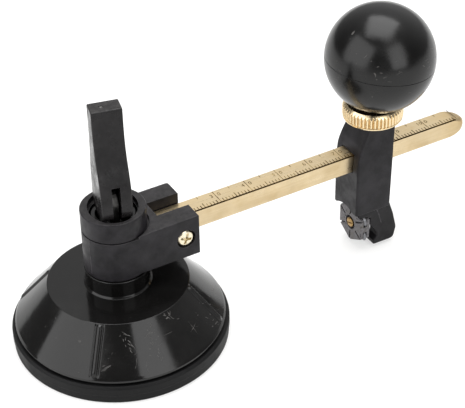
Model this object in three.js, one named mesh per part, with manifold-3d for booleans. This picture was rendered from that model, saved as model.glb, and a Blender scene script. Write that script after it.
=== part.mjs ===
// Compass-type circular glass cutter: a lever-operated suction base, a swivelling bracket that
// clamps a graduated square brass bar, and a sliding head with a six-wheel cutting turret,
// a knurled lock nut and a ball handle.
// Millimetres, +Z up. The origin is on the base's axis, on the underside of the rubber pad, and
// the bar points along +X.

import * as THREE from 'three';
import { mergeVertices } from 'three/addons/utils/BufferGeometryUtils.js';
import Module from 'manifold-3d';

const wasm = await Module();
wasm.setup();

// ---------------------------------------------------------------- driving dimensions

const FIT_GAP = 0.3;

const PAD = { radius: 30.0, flangeRadius: 30.25, rimTop: 5.7, web: 3.4, bossTop: 12.5, bossRadius: 8.2 };
const PAD_SOCKET = { radius: 6.2, floor: 4.7, ceiling: 11.1, mouth: 3.5 };

const HOUSING = { rimRadius: 29.2, rimBottom: 6.1, coneRadius: 28.8, coneBottom: 7.6 };
const PLATEAU = { radius: 19.47, z: 18.54, wall: 2.3 };
const NECK = { radius: 8.9, top: 23.9 };
const SPIGOT = { radius: 6.1, bore: 4.8, top: 41.0 };
const ROD_GUIDE = { radius: 2.8, bottom: 30.0, top: 34.0 };
const RIB = { count: 4, firstAngle: -131, width: 1.2, height: 0.45, margin: 0.5 };

const RING = { radius: 8.9, bottom: 36.95, top: 43.0, step: 41.3, chamfer: 0.35 };
const RING_MOUTH = { alongFold: 7.75, across: 6.75 };

const LEVER_AZIMUTH = -13;
const LEVER = { width: 8.1, pivotZ: 45.3, heel: 4.2, front: -6.5, back: 5.5, top: 73.7 };
const LEVER_SLOT = { width: 2.3, top: 52.6, back: 4.3 };
const LEVER_PIN = { radius: 1.25, length: 7.9 };
const ROD = { radius: 2.5, tongueWidth: 7.6, tongueThickness: 1.7, tongueBottom: 36.6 };
const ROD_COLLAR = { radius: 4.2, bottom: 13.6, top: 14.8 };
const ROD_FOOT = { radius: 5.8, bottom: 5.0, top: 6.6 };
const SPRING = { radius: 3.6, wire: 0.4, bottom: 15.5, top: 29.4, turns: 6 };

const COLLAR = { radius: 8.9, bottom: 24.2, top: 36.62, bore: 6.4 };
const EARS = { end: 21.0, halfWidth: 9.1, bottom: 25.0, top: 37.45, cornerRadius: 0.9, recess: 9.45 };
const BAR = { start: 11.6, tip: 115.2, width: 5.8, bottom: 28.47, top: 34.17 };
const NOSE = { length: 4.6, brow: 6.0, browDrop: 3.0, chin: 2.8, chinRise: 2.3 };
const BAR_SLOT = { start: 11.3, halfWidth: 3.2, bottom: 28.15 };
const CLAMP_SCREW = { x: 16.8, z: 31.2, radius: 1.5, headRadius: 2.35, headTop: -9.1, headBottom: -7.9 };
const CLAMP_RECESS = { radius: 2.95, floor: -7.6 };
const CLAMP_NUT = { acrossFlats: 5.5, front: 6.8, back: 8.9, pocketFloor: 6.5 };

const HEAD = { left: 74.3, right: 86.2, bottom: 14.1, shoulder: 35.0, top: 43.4, halfWidth: 5.85 };
const HEAD_TOP = { left: 78.2, right: 87.3, halfWidth: 5.2 };
const HEAD_LIP = { bottom: 13.4, inner: 4.6 };
const TONGUE = { left: 79.9, right: 88.9, bottom: 1.7, top: 15.2, halfWidth: 5.5 };
const SHOE = { x: 81.7, length: 5.4, width: 5.2, bottom: 34.5, top: 35.6 };

const STUD_X = 82.7;
const NUT = { radius: 8.75, root: 8.3, bottom: 43.7, top: 48.3, bore: 3.1, teeth: 48 };
const HANDLE_LEAN = 6.2;
const HANDLE_PIVOT_Z = 46.3;
const BALL = { radius: 15.54, inner: 12.4, centre: 16.1, seam: -0.56, base: -13.0, boss: 5.8 };
const INSERT = { radius: 4.0, bore: 2.8, bottom: -13.3, top: -1.6 };
const STUD = { radius: 2.5, bottom: -10.2, top: 13.0 };

const TURRET = { z: 8.0, corner: 6.45, front: 76.3, back: 79.5, bore: 1.8, sinkRadius: 2.5, sinkDepth: 1.1 };
const WHEEL = { count: 6, orbit: 5.1, radius: 1.8, hub: 1.3, halfThickness: 0.5, bore: 0.8, pocket: 2.05 };
const AXLE = { radius: 0.5, length: 3.0 };
const TURRET_SCREW = { radius: 1.5, headRadius: 2.1, headFront: 76.2, headBack: 77.1, end: 86.5 };
const WASHER = { radius: 4.6, bore: 1.85, front: 79.8, back: 80.5 };
const SPLIT_WASHER = { radius: 3.2, bore: 1.85, front: 80.8, back: 81.8 };
const ARCH_RADIUS = 7.2;

// ---------------------------------------------------------------- materials

const blackPlastic = () => new THREE.MeshStandardMaterial({ color: 0x37333a, roughness: 0.42, metalness: 0 });
const glossBlack = () => new THREE.MeshStandardMaterial({ color: 0x1d1c1c, roughness: 0.16, metalness: 0 });
const rubber = () => new THREE.MeshStandardMaterial({ color: 0x262628, roughness: 0.75, metalness: 0 });
const brass = () => new THREE.MeshStandardMaterial({ color: 0xd9b574, roughness: 0.3, metalness: 1 });
const steel = () => new THREE.MeshStandardMaterial({ color: 0x9a9a9c, roughness: 0.35, metalness: 1 });
const dieCast = () => new THREE.MeshStandardMaterial({ color: 0x8a878c, roughness: 0.55, metalness: 0.8 });

// ---------------------------------------------------------------- solid helpers

function toSolid(geometry) {
  const bare = geometry.clone();
  bare.deleteAttribute('normal');
  bare.deleteAttribute('uv');
  const merged = mergeVertices(bare, 1e-4);
  const vertProperties = merged.attributes.position.array;
  const triVerts = merged.index.array;
  return new wasm.Manifold(new wasm.Mesh({ numProp: 3, vertProperties, triVerts }));
}

function toGeometry(solid) {
  const mesh = solid.getMesh();
  const geometry = new THREE.BufferGeometry();
  geometry.setAttribute('position', new THREE.BufferAttribute(new Float32Array(mesh.vertProperties), 3));
  geometry.setIndex(new THREE.BufferAttribute(new Uint32Array(mesh.triVerts), 1));
  geometry.computeVertexNormals();
  return geometry;
}

function part(name, geometry, material) {
  const mesh = new THREE.Mesh(geometry, material);
  mesh.name = name;
  return mesh;
}

// A solid of revolution about Z. The outline runs counter-clockwise in the (radius, height) plane.
function revolve(outline, segments = 64) {
  const points = outline.map(([radius, height]) => new THREE.Vector2(radius, height));
  const [first] = points;
  const last = points[points.length - 1];
  if (first.x > 0 || last.x > 0) points.push(first.clone());
  return new THREE.LatheGeometry(points, segments).rotateX(Math.PI / 2);
}

function shapeOf(points) {
  return new THREE.Shape(points.map(([x, y]) => new THREE.Vector2(x, y)));
}

function extrude(shape, depth, curveSegments = 8) {
  return new THREE.ExtrudeGeometry(shape, { depth, bevelEnabled: false, curveSegments });
}

// Prisms whose outline lies in a plane of two axes and which run along the third.
function prismZ(shape, low, high, curveSegments) {
  return extrude(shape, high - low, curveSegments).translate(0, 0, low);
}

function prismY(shape, low, high, curveSegments) {
  return extrude(shape, high - low, curveSegments).rotateX(Math.PI / 2).translate(0, high, 0);
}

function prismX(shape, low, high, curveSegments) {
  const axes = new THREE.Matrix4().makeBasis(
    new THREE.Vector3(0, 1, 0), new THREE.Vector3(0, 0, 1), new THREE.Vector3(1, 0, 0));
  return extrude(shape, high - low, curveSegments).applyMatrix4(axes).translate(low, 0, 0);
}

function box(xLow, xHigh, yLow, yHigh, zLow, zHigh) {
  const geometry = new THREE.BoxGeometry(xHigh - xLow, yHigh - yLow, zHigh - zLow);
  return geometry.translate((xLow + xHigh) / 2, (yLow + yHigh) / 2, (zLow + zHigh) / 2);
}

function cylinderZ(radius, low, high, segments = 32) {
  const geometry = new THREE.CylinderGeometry(radius, radius, high - low, segments);
  return geometry.rotateX(Math.PI / 2).translate(0, 0, (low + high) / 2);
}

function cylinderY(radius, low, high, segments = 24) {
  return new THREE.CylinderGeometry(radius, radius, high - low, segments).translate(0, (low + high) / 2, 0);
}

function cylinderX(radius, low, high, segments = 24) {
  const geometry = new THREE.CylinderGeometry(radius, radius, high - low, segments);
  return geometry.rotateZ(-Math.PI / 2).translate((low + high) / 2, 0, 0);
}

function join(...geometries) {
  return geometries.map(toSolid).reduce((whole, piece) => whole.add(piece));
}

function cut(solid, ...geometries) {
  return geometries.map(toSolid).reduce((whole, tool) => whole.subtract(tool), solid);
}

function polygon(count, radius, firstAngle = 0) {
  const corners = [];
  for (let i = 0; i < count; i += 1) {
    const angle = firstAngle + (i / count) * 2 * Math.PI;
    corners.push([radius * Math.cos(angle), radius * Math.sin(angle)]);
  }
  return corners;
}

function arc(centreX, centreY, radius, fromDegrees, toDegrees, steps) {
  const points = [];
  for (let i = 0; i <= steps; i += 1) {
    const angle = THREE.MathUtils.degToRad(fromDegrees + ((toDegrees - fromDegrees) * i) / steps);
    points.push([centreX + radius * Math.cos(angle), centreY + radius * Math.sin(angle)]);
  }
  return points;
}

// ---------------------------------------------------------------- suction base

// One rubber moulding: a flat sealing face, a raised rim and a centre boss that hooks the rod's foot.
function suctionPad() {
  const outline = [
    [0, 0], [PAD.radius - 0.8, 0], [PAD.radius, 0.7],
    [PAD.flangeRadius, PAD.rimTop - 0.8], [PAD.flangeRadius - 0.6, PAD.rimTop],
    [26.4, PAD.rimTop], [25.8, PAD.web], [PAD.bossRadius, PAD.web],
    [PAD.bossRadius - 0.3, PAD.bossTop], [PAD_SOCKET.mouth, PAD.bossTop],
    [PAD_SOCKET.mouth, PAD_SOCKET.ceiling], [PAD_SOCKET.radius, PAD_SOCKET.ceiling],
    [PAD_SOCKET.radius, PAD_SOCKET.floor], [0, PAD_SOCKET.floor],
  ];
  return part('suction_pad', revolve(outline, 48), rubber());
}

// A raised rib that runs down the cone from the plateau's edge to the rim.
function coneRib(angle) {
  const run = HOUSING.coneRadius - PLATEAU.radius;
  const drop = PLATEAU.z - HOUSING.coneBottom;
  const length = Math.hypot(run, drop) - 2 * RIB.margin;
  return new THREE.BoxGeometry(length, RIB.width, 2 * RIB.height)
    .rotateY(Math.atan2(drop, run))
    .translate((HOUSING.coneRadius + PLATEAU.radius) / 2, 0, (PLATEAU.z + HOUSING.coneBottom) / 2)
    .rotateZ(THREE.MathUtils.degToRad(angle));
}

// The cone cover, its neck and the hollow spigot that the arm turns on.
function baseHousing() {
  const ceiling = PLATEAU.z - PLATEAU.wall;
  const outline = [
    [SPIGOT.bore, ceiling], [PLATEAU.radius - 0.9, ceiling], [27.3, HOUSING.rimBottom + 0.8],
    [27.5, HOUSING.rimBottom], [HOUSING.rimRadius, HOUSING.rimBottom],
    [HOUSING.rimRadius, HOUSING.coneBottom - 0.6], [HOUSING.coneRadius, HOUSING.coneBottom],
    [PLATEAU.radius, PLATEAU.z], [NECK.radius, PLATEAU.z], [NECK.radius, NECK.top],
    [SPIGOT.radius, NECK.top], [SPIGOT.radius, SPIGOT.top], [SPIGOT.bore, SPIGOT.top],
    [SPIGOT.bore, ROD_GUIDE.top], [ROD_GUIDE.radius, ROD_GUIDE.top],
    [ROD_GUIDE.radius, ROD_GUIDE.bottom], [SPIGOT.bore, ROD_GUIDE.bottom],
  ];
  const ribs = [];
  for (let i = 0; i < RIB.count; i += 1) ribs.push(coneRib(RIB.firstAngle + (i * 360) / RIB.count));
  return part('base_housing', toGeometry(join(revolve(outline, 48), ...ribs)), glossBlack());
}

// The cap ring that keeps the arm on its spigot. Its oval mouth lets the lever's cam turn.
function hubCapRing() {
  const c = RING.chamfer;
  const bore = SPIGOT.radius + FIT_GAP;
  const outline = [
    [bore, RING.bottom], [RING.radius, RING.bottom], [RING.radius, RING.top - c],
    [RING.radius - c, RING.top], [bore, RING.top],
  ];
  const mouth = new THREE.Shape();
  const turn = THREE.MathUtils.degToRad(90 + LEVER_AZIMUTH);
  mouth.absellipse(0, 0, RING_MOUTH.alongFold, RING_MOUTH.across, 0, 2 * Math.PI, false, turn);
  const opened = cut(toSolid(revolve(outline, 48)), prismZ(mouth, RING.step, RING.top + 1, 24));
  return part('hub_cap_ring', toGeometry(opened), blackPlastic());
}

class SpringPath extends THREE.Curve {
  getPoint(t) {
    const angle = t * SPRING.turns * 2 * Math.PI;
    const height = SPRING.bottom + SPRING.wire + t * (SPRING.top - SPRING.bottom - 2 * SPRING.wire);
    return new THREE.Vector3(SPRING.radius * Math.cos(angle), SPRING.radius * Math.sin(angle), height);
  }
}

function returnSpring() {
  const section = shapeOf(polygon(5, SPRING.wire));
  const options = { steps: SPRING.turns * 11, extrudePath: new SpringPath(), bevelEnabled: false };
  return part('return_spring', new THREE.ExtrudeGeometry(section, options), steel());
}

// ---------------------------------------------------------------- cam lever and pull rod
// Inside this frame +X points away from the fold, -Y runs along the pivot pin and +Z is up.

// Side outline of the lever: a round heel, a thick cam body and a thinner, slightly leaning handle.
function leverOutline() {
  const { pivotZ, heel, front, back, top } = LEVER;
  const frontHeel = arc(front + heel, pivotZ, heel, 180, 270, 6);
  const backHeel = arc(back - heel, pivotZ, heel, 270, 360, 6);
  return [
    ...frontHeel, ...backHeel,
    [back, 50.5], [5.2, 54.4], [4.2, 58.6], [3.45, 62.5], [3.4, top - 0.8],
    [-1.75, top], [-1.8, 66.5], [-2.35, 62.5], [-3.7, 58.6], [-5.3, 54.8], [-6.25, 51.4],
  ];
}

function camLever() {
  const { width, pivotZ, heel } = LEVER;
  const blank = toSolid(prismY(shapeOf(leverOutline()), -width / 2, width / 2));
  const slot = box(-9, LEVER_SLOT.back, -LEVER_SLOT.width / 2, LEVER_SLOT.width / 2,
    pivotZ - heel - 2, LEVER_SLOT.top);
  const pinHole = cylinderY(LEVER_PIN.radius + FIT_GAP, -width, width).translate(0, 0, pivotZ);
  return part('cam_lever', toGeometry(cut(blank, slot, pinHole)), blackPlastic());
}

function leverPin() {
  const geometry = cylinderY(LEVER_PIN.radius, -LEVER_PIN.length / 2, LEVER_PIN.length / 2);
  return part('lever_pin', geometry.translate(0, 0, LEVER.pivotZ), steel());
}

// The rod's flat tongue carries the lever, its collar seats the spring and its foot lifts the pad.
function pullRod() {
  const half = ROD.tongueWidth / 2;
  const eye = arc(0, LEVER.pivotZ, half, 0, 180, 14);
  const tongue = shapeOf([[-half, ROD.tongueBottom], [half, ROD.tongueBottom], ...eye]);
  const blade = prismY(tongue, -ROD.tongueThickness / 2, ROD.tongueThickness / 2);
  const shank = cylinderZ(ROD.radius, ROD_FOOT.top - 0.2, ROD.tongueBottom + 0.5);
  const collar = cylinderZ(ROD_COLLAR.radius, ROD_COLLAR.bottom, ROD_COLLAR.top);
  const foot = cylinderZ(ROD_FOOT.radius, ROD_FOOT.bottom, ROD_FOOT.top);
  const pinHole = cylinderY(LEVER_PIN.radius + FIT_GAP, -3, 3).translate(0, 0, LEVER.pivotZ);
  return part('pull_rod', toGeometry(cut(join(blade, shank, collar, foot), pinHole)), steel());
}

function leverGroup() {
  const group = new THREE.Group();
  group.rotation.z = THREE.MathUtils.degToRad(90 + LEVER_AZIMUTH);
  group.add(camLever(), leverPin(), pullRod());
  return group;
}

// ---------------------------------------------------------------- swivel arm

function earOutline() {
  const { end, halfWidth, cornerRadius: r } = EARS;
  return shapeOf([
    [0, -halfWidth], ...arc(end - r, r - halfWidth, r, 270, 360, 4),
    ...arc(end - r, halfWidth - r, r, 0, 90, 4), [0, halfWidth],
  ]);
}

// A collar on the spigot with two ears that hold the bar between them.
function armBracket() {
  const collar = cylinderZ(COLLAR.radius, COLLAR.bottom, COLLAR.top, 48);
  const ears = prismZ(earOutline(), EARS.bottom, EARS.top);
  const bore = cylinderZ(COLLAR.bore, COLLAR.bottom - 1, EARS.top + 1, 48);
  const recess = cylinderZ(EARS.recess, COLLAR.top, EARS.top + 1, 48);
  const slot = box(BAR_SLOT.start, EARS.end + 1, -BAR_SLOT.halfWidth, BAR_SLOT.halfWidth,
    BAR_SLOT.bottom, EARS.top + 1);
  const hole = cylinderY(CLAMP_SCREW.radius + FIT_GAP, -EARS.halfWidth - 1, EARS.halfWidth + 1);
  const counterbore = cylinderY(CLAMP_RECESS.radius, -EARS.halfWidth - 1, CLAMP_RECESS.floor);
  const pocketRadius = (CLAMP_NUT.acrossFlats / 2 + FIT_GAP) / Math.cos(Math.PI / 6);
  const pocket = prismY(shapeOf(polygon(6, pocketRadius)), CLAMP_NUT.pocketFloor, EARS.halfWidth + 1);
  const fasteners = [hole, counterbore, pocket].map((g) => g.translate(CLAMP_SCREW.x, 0, CLAMP_SCREW.z));
  const solid = cut(join(collar, ears), bore, recess, slot, ...fasteners);
  return part('arm_bracket', toGeometry(solid), blackPlastic());
}

// The square bar has a nose that is round in plan, with a long brow above and a short chin below.
function graduatedBar() {
  const half = BAR.width / 2;
  const { length, brow, browDrop, chin, chinRise } = NOSE;
  const plan = new THREE.Shape();
  plan.moveTo(BAR.start, -half);
  plan.lineTo(BAR.tip - length, -half);
  plan.absellipse(BAR.tip - length, 0, length, half, -Math.PI / 2, Math.PI / 2, false, 0);
  plan.lineTo(BAR.start, half);
  const side = new THREE.Shape();
  side.moveTo(BAR.start - 1, BAR.bottom);
  side.lineTo(BAR.tip - chin, BAR.bottom);
  side.absellipse(BAR.tip - chin, BAR.bottom + chinRise, chin, chinRise, -Math.PI / 2, 0, false, 0);
  side.absellipse(BAR.tip - brow, BAR.top - browDrop, brow, browDrop, 0, Math.PI / 2, false, 0);
  side.lineTo(BAR.start - 1, BAR.top);
  const blank = toSolid(prismZ(plan, BAR.bottom - 1, BAR.top + 1, 10));
  const eased = blank.intersect(toSolid(prismY(side, -half - 1, half + 1, 4)));
  const hole = cylinderY(CLAMP_SCREW.radius + FIT_GAP, -half - 1, half + 1);
  const drilled = cut(eased, hole.translate(CLAMP_SCREW.x, 0, CLAMP_SCREW.z));
  return part('graduated_bar', toGeometry(drilled), brass());
}

function barClampScrew() {
  const { headTop, headBottom, headRadius, radius, x, z } = CLAMP_SCREW;
  const head = cylinderY(headRadius, headTop, headBottom);
  const shank = cylinderY(radius, headBottom - 0.2, CLAMP_NUT.back);
  const slotA = box(-1.35, 1.35, headTop - 1, headTop + 0.7, -0.32, 0.32);
  const slotB = box(-0.32, 0.32, headTop - 1, headTop + 0.7, -1.35, 1.35);
  const solid = cut(join(head, shank), slotA, slotB);
  return part('bar_clamp_screw', toGeometry(solid).translate(x, 0, z), brass());
}

function barClampNut() {
  const hex = shapeOf(polygon(6, CLAMP_NUT.acrossFlats / 2 / Math.cos(Math.PI / 6)));
  const blank = toSolid(prismY(hex, CLAMP_NUT.front, CLAMP_NUT.back));
  const bored = cut(blank, cylinderY(CLAMP_SCREW.radius + FIT_GAP, 0, CLAMP_NUT.back + 1));
  return part('bar_clamp_nut', toGeometry(bored).translate(CLAMP_SCREW.x, 0, CLAMP_SCREW.z), brass());
}

// ---------------------------------------------------------------- sliding head

// Side outline of the head's block, whose face towards the base leans back above the bar.
function headBlockOutline() {
  return shapeOf([
    [HEAD.left, HEAD.bottom], [HEAD.right, HEAD.bottom], [HEAD.right + 0.4, HEAD.shoulder],
    [HEAD_TOP.right, HEAD.top], [HEAD_TOP.left, HEAD.top], [77.2, 41.4], [75.8, 38.0],
    [HEAD.left + 0.5, HEAD.shoulder], [HEAD.left, 29.5],
  ]);
}

// Side outline of the thin finger rest that hangs behind the turret.
function tongueOutline() {
  return shapeOf([
    [81.1, TONGUE.bottom], [87.2, TONGUE.bottom], [88.2, 2.4], [88.8, 3.6], [TONGUE.right, 5.5],
    [87.9, 10.2], [87.0, 13.1], [HEAD.right, TONGUE.top], [TONGUE.left, TONGUE.top],
    [TONGUE.left, 12.0], [80.2, 11.2], [81.2, 9.5], [81.9, 7.8], [82.4, 6.1], [82.3, 4.2], [81.1, 2.9],
  ]);
}

function headBody() {
  const front = shapeOf([
    [-HEAD.halfWidth, HEAD.bottom - 1], [HEAD.halfWidth, HEAD.bottom - 1], [HEAD.halfWidth, HEAD.shoulder],
    [HEAD_TOP.halfWidth, HEAD.top + 0.01], [-HEAD_TOP.halfWidth, HEAD.top + 0.01],
    [-HEAD.halfWidth, HEAD.shoulder],
  ]);
  const block = toSolid(prismY(headBlockOutline(), -HEAD.halfWidth, HEAD.halfWidth))
    .intersect(toSolid(prismX(front, HEAD.left - 1, HEAD_TOP.right + 1)));
  const tongue = prismY(tongueOutline(), -TONGUE.halfWidth, TONGUE.halfWidth);
  const lip = box(HEAD.left, TONGUE.left + 1, HEAD_LIP.inner, HEAD.halfWidth,
    HEAD_LIP.bottom, HEAD.bottom + 0.5);
  const solid = block.add(toSolid(tongue)).add(toSolid(lip));
  const barWay = box(HEAD.left - 1, TONGUE.right + 1, -BAR_SLOT.halfWidth, BAR_SLOT.halfWidth,
    BAR_SLOT.bottom, BAR.top + FIT_GAP);
  const shoePocket = box(SHOE.x - SHOE.length / 2 - FIT_GAP, SHOE.x + SHOE.length / 2 + FIT_GAP,
    -SHOE.width / 2 - FIT_GAP, SHOE.width / 2 + FIT_GAP, BAR.top, SHOE.top + FIT_GAP);
  const studHole = leaning(cylinderZ(STUD.radius + FIT_GAP, STUD.bottom - 0.6, 0, 32));
  const screwHole = cylinderX(TURRET_SCREW.radius + FIT_GAP, TONGUE.left - 1, TURRET_SCREW.end + 0.5);
  const arch = cylinderX(ARCH_RADIUS, HEAD.left - 1, TURRET.back + FIT_GAP, 48);
  const washerSeat = cylinderX(WASHER.radius + FIT_GAP, TURRET.back, SPLIT_WASHER.back + FIT_GAP, 32);
  const aroundAxis = [screwHole, arch, washerSeat].map((g) => g.translate(0, 0, TURRET.z));
  const bored = cut(solid, barWay, shoePocket, studHole, ...aroundAxis);
  return part('head_body', toGeometry(bored), blackPlastic());
}

function clampShoe() {
  const { x, length, width, bottom, top } = SHOE;
  return part('clamp_shoe', box(x - length / 2, x + length / 2, -width / 2, width / 2, bottom, top), brass());
}

// The lock nut under the ball: straight knurling, a plain band below and a bevel above.
function knurledNut() {
  const outline = [];
  for (let i = 0; i < NUT.teeth * 2; i += 1) {
    const radius = i % 2 ? NUT.root : NUT.radius;
    const angle = (i / (NUT.teeth * 2)) * 2 * Math.PI;
    outline.push([radius * Math.cos(angle), radius * Math.sin(angle)]);
  }
  const toothed = toSolid(prismZ(shapeOf(outline), NUT.bottom + 0.4, NUT.top));
  const bevel = revolve([[0, NUT.bottom], [9, NUT.bottom], [9, NUT.top - 1.0], [8.0, NUT.top], [0, NUT.top]]);
  const band = cylinderZ(NUT.radius - 0.15, NUT.bottom, NUT.bottom + 0.6, 48);
  const bored = cut(toothed.intersect(toSolid(bevel)).add(toSolid(band)),
    cylinderZ(NUT.bore, NUT.bottom - 1, NUT.top + 1));
  return part('knurled_nut', toGeometry(bored).translate(STUD_X, 0, 0), brass());
}

// ---------------------------------------------------------------- ball handle, leaning outwards

function leaning(geometry) {
  return geometry.rotateY(THREE.MathUtils.degToRad(HANDLE_LEAN)).translate(STUD_X, 0, HANDLE_PIVOT_Z);
}

// Points on a circle about the ball's centre, between two heights measured from that centre.
function ballArc(radius, fromHeight, toHeight, steps) {
  const from = THREE.MathUtils.radToDeg(Math.asin(fromHeight / radius));
  const to = THREE.MathUtils.radToDeg(Math.asin(toHeight / radius));
  return arc(0, 0, radius, from, to, steps);
}

function ballUpperHalf() {
  const seam = BALL.seam + FIT_GAP / 2;
  const outer = ballArc(BALL.radius, seam, BALL.radius, 9);
  const inner = ballArc(BALL.inner, BALL.inner, seam, 4);
  outer[outer.length - 1][0] = 0;
  inner[0][0] = 0;
  const start = [inner.pop()];
  const outline = [...inner, ...start, ...outer];
  return part('ball_upper_half', leaning(revolve(outline, 36).translate(0, 0, BALL.centre)), glossBlack());
}

function ballLowerHalf() {
  const seam = BALL.seam - FIT_GAP / 2;
  const innerFloor = -Math.sqrt(BALL.inner ** 2 - BALL.boss ** 2);
  const bore = INSERT.radius + FIT_GAP;
  const outline = [
    [bore, BALL.base], ...ballArc(BALL.radius, BALL.base, seam, 8),
    ...ballArc(BALL.inner, seam, innerFloor, 4), [BALL.boss, seam], [bore, seam],
  ];
  return part('ball_lower_half', leaning(revolve(outline, 36).translate(0, 0, BALL.centre)), glossBlack());
}

function ballInsert() {
  const outline = [
    [INSERT.bore, INSERT.bottom], [INSERT.radius, INSERT.bottom],
    [INSERT.radius, INSERT.top], [INSERT.bore, INSERT.top],
  ];
  return part('ball_insert', leaning(revolve(outline, 24).translate(0, 0, BALL.centre)), brass());
}

function clampStud() {
  return part('clamp_stud', leaning(cylinderZ(STUD.radius, STUD.bottom, STUD.top, 24)), steel());
}

// ---------------------------------------------------------------- cutting turret

function aroundTurret(geometry, index) {
  const angle = ((index - 1) / WHEEL.count) * 2 * Math.PI;
  return geometry.translate(0, 0, -WHEEL.orbit).rotateX(angle).translate(0, 0, TURRET.z);
}

// A hexagonal die casting with a wheel pocket open at each corner and a notch on its front face.
function turretBody() {
  const middle = (TURRET.front + TURRET.back) / 2;
  const hex = shapeOf(polygon(6, TURRET.corner, Math.PI / 2));
  const blank = toSolid(prismX(hex, TURRET.front, TURRET.back).translate(0, 0, TURRET.z));
  const bore = cylinderX(TURRET.bore, TURRET.front - 1, TURRET.back + 1).translate(0, 0, TURRET.z);
  const sink = cylinderX(TURRET.sinkRadius, TURRET.front - 1, TURRET.front + TURRET.sinkDepth);
  const tools = [bore, sink.translate(0, 0, TURRET.z)];
  const pocketHalf = WHEEL.halfThickness + 0.2;
  for (let i = 1; i <= WHEEL.count; i += 1) {
    tools.push(aroundTurret(cylinderX(WHEEL.pocket, middle - pocketHalf, middle + pocketHalf, 14), i));
    tools.push(aroundTurret(cylinderX(WHEEL.bore, TURRET.front - 1, TURRET.back + 1, 8), i));
    tools.push(aroundTurret(box(TURRET.front - 1, TURRET.front + 0.4, -0.3, 0.3, -1.6, 1.9), i));
  }
  return part('turret_body', toGeometry(cut(blank, ...tools)), dieCast());
}

function cuttingWheel(index) {
  const { bore, hub, radius, halfThickness: t } = WHEEL;
  const middle = (TURRET.front + TURRET.back) / 2;
  const outline = [[bore, -t], [hub, -t], [radius, 0], [hub, t], [bore, t]];
  const wheel = revolve(outline, 20).rotateY(Math.PI / 2).translate(middle, 0, 0);
  return part(`cutting_wheel_${index}`, aroundTurret(wheel, index), steel());
}

function wheelAxle(index) {
  const middle = (TURRET.front + TURRET.back) / 2;
  const pin = cylinderX(AXLE.radius, middle - AXLE.length / 2, middle + AXLE.length / 2, 12);
  return part(`wheel_axle_${index}`, aroundTurret(pin, index), steel());
}

function turretScrew() {
  const { headRadius, headFront, headBack, radius, end } = TURRET_SCREW;
  const head = cylinderX(headRadius, headFront, headBack);
  const shank = cylinderX(radius, headBack - 0.2, end);
  const driverSlot = box(headFront - 1, headFront + 0.45, -3, 3, -0.28, 0.28);
  const solid = cut(join(head, shank), driverSlot);
  return part('turret_screw', toGeometry(solid).translate(0, 0, TURRET.z), brass());
}

function washerSolid({ radius, bore, front, back }) {
  return cut(toSolid(cylinderX(radius, front, back)), cylinderX(bore, front - 1, back + 1));
}

function turretWasher() {
  return part('turret_washer', toGeometry(washerSolid(WASHER)).translate(0, 0, TURRET.z), steel());
}

// The split washer behind it is turned with its gap upwards.
function turretSplitWasher() {
  const gap = box(SPLIT_WASHER.front - 1, SPLIT_WASHER.back + 1, -0.3, 0.3, 0, 4);
  const solid = cut(washerSolid(SPLIT_WASHER), gap);
  return part('turret_split_washer', toGeometry(solid).translate(0, 0, TURRET.z), steel());
}

// ---------------------------------------------------------------- assembly

const cutter = new THREE.Group();
cutter.add(suctionPad(), baseHousing(), hubCapRing(), returnSpring(), leverGroup());
cutter.add(armBracket(), graduatedBar(), barClampScrew(), barClampNut());
cutter.add(headBody(), clampShoe(), knurledNut());
cutter.add(ballUpperHalf(), ballLowerHalf(), ballInsert(), clampStud());
cutter.add(turretBody(), turretScrew(), turretWasher(), turretSplitWasher());
for (let i = 1; i <= WHEEL.count; i += 1) cutter.add(cuttingWheel(i), wheelAxle(i));

export default cutter;
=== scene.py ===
# Circular glass cutter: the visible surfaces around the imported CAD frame.
# Shapes are built in millimetres in the row frame, then scaled to metres.

import math
import random

import bmesh
import bpy
from mathutils import Matrix, Vector


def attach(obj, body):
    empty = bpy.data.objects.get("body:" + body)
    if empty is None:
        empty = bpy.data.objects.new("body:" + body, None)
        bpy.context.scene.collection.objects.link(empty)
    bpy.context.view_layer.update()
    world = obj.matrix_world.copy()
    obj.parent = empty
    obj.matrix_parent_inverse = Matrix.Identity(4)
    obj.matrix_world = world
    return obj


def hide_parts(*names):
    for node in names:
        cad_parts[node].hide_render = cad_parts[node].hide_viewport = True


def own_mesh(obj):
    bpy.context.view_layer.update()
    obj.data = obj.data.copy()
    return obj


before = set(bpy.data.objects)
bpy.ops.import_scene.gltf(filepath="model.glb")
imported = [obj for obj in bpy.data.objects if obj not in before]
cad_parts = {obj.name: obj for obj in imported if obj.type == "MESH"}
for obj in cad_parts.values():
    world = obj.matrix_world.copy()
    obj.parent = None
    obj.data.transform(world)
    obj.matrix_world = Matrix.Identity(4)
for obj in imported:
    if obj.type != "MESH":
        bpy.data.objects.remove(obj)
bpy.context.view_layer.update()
random.seed(7)

MM = 0.001

# -------------------- driving dimensions (mm)

PAD_RADIUS = 30.2
POCKET_TOP = 11.35  # the roof over the rod's foot, which rises 4.5 mm
RIM_RADIUS = 29.2
CONE_TOP = (19.47, 18.54)
CONE_FOOT = (28.8, 7.6)
NECK_RADIUS = 8.9
SPIGOT_RADIUS = 6.1
RIB_ANGLES = (-131.0, -41.0, 49.0, 139.0)
RING_BOTTOM, RING_TOP = 36.95, 43.0
LEVER_AZIMUTH = -13.0
PIVOT_Z = 45.3
COLLAR_BOTTOM, COLLAR_TOP = 24.2, 36.62
EAR_END, EAR_HALF = 21.0, 9.1
BAR_START, BAR_TIP = 11.6, 115.19
BAR_HALF, BAR_BOTTOM, BAR_TOP = 2.9, 28.47, 34.17
SCREW_X, SCREW_Z = 16.8, 31.2
NUT_BOTTOM, NUT_TOP = 43.7, 48.3
STUD_X, LEAN_PIVOT_Z, LEAN = 82.7, 46.3, 6.2
BALL_RADIUS, BALL_HOLLOW, BALL_HEIGHT, SEAM = 15.69, 12.4, 15.9, -0.56
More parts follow.
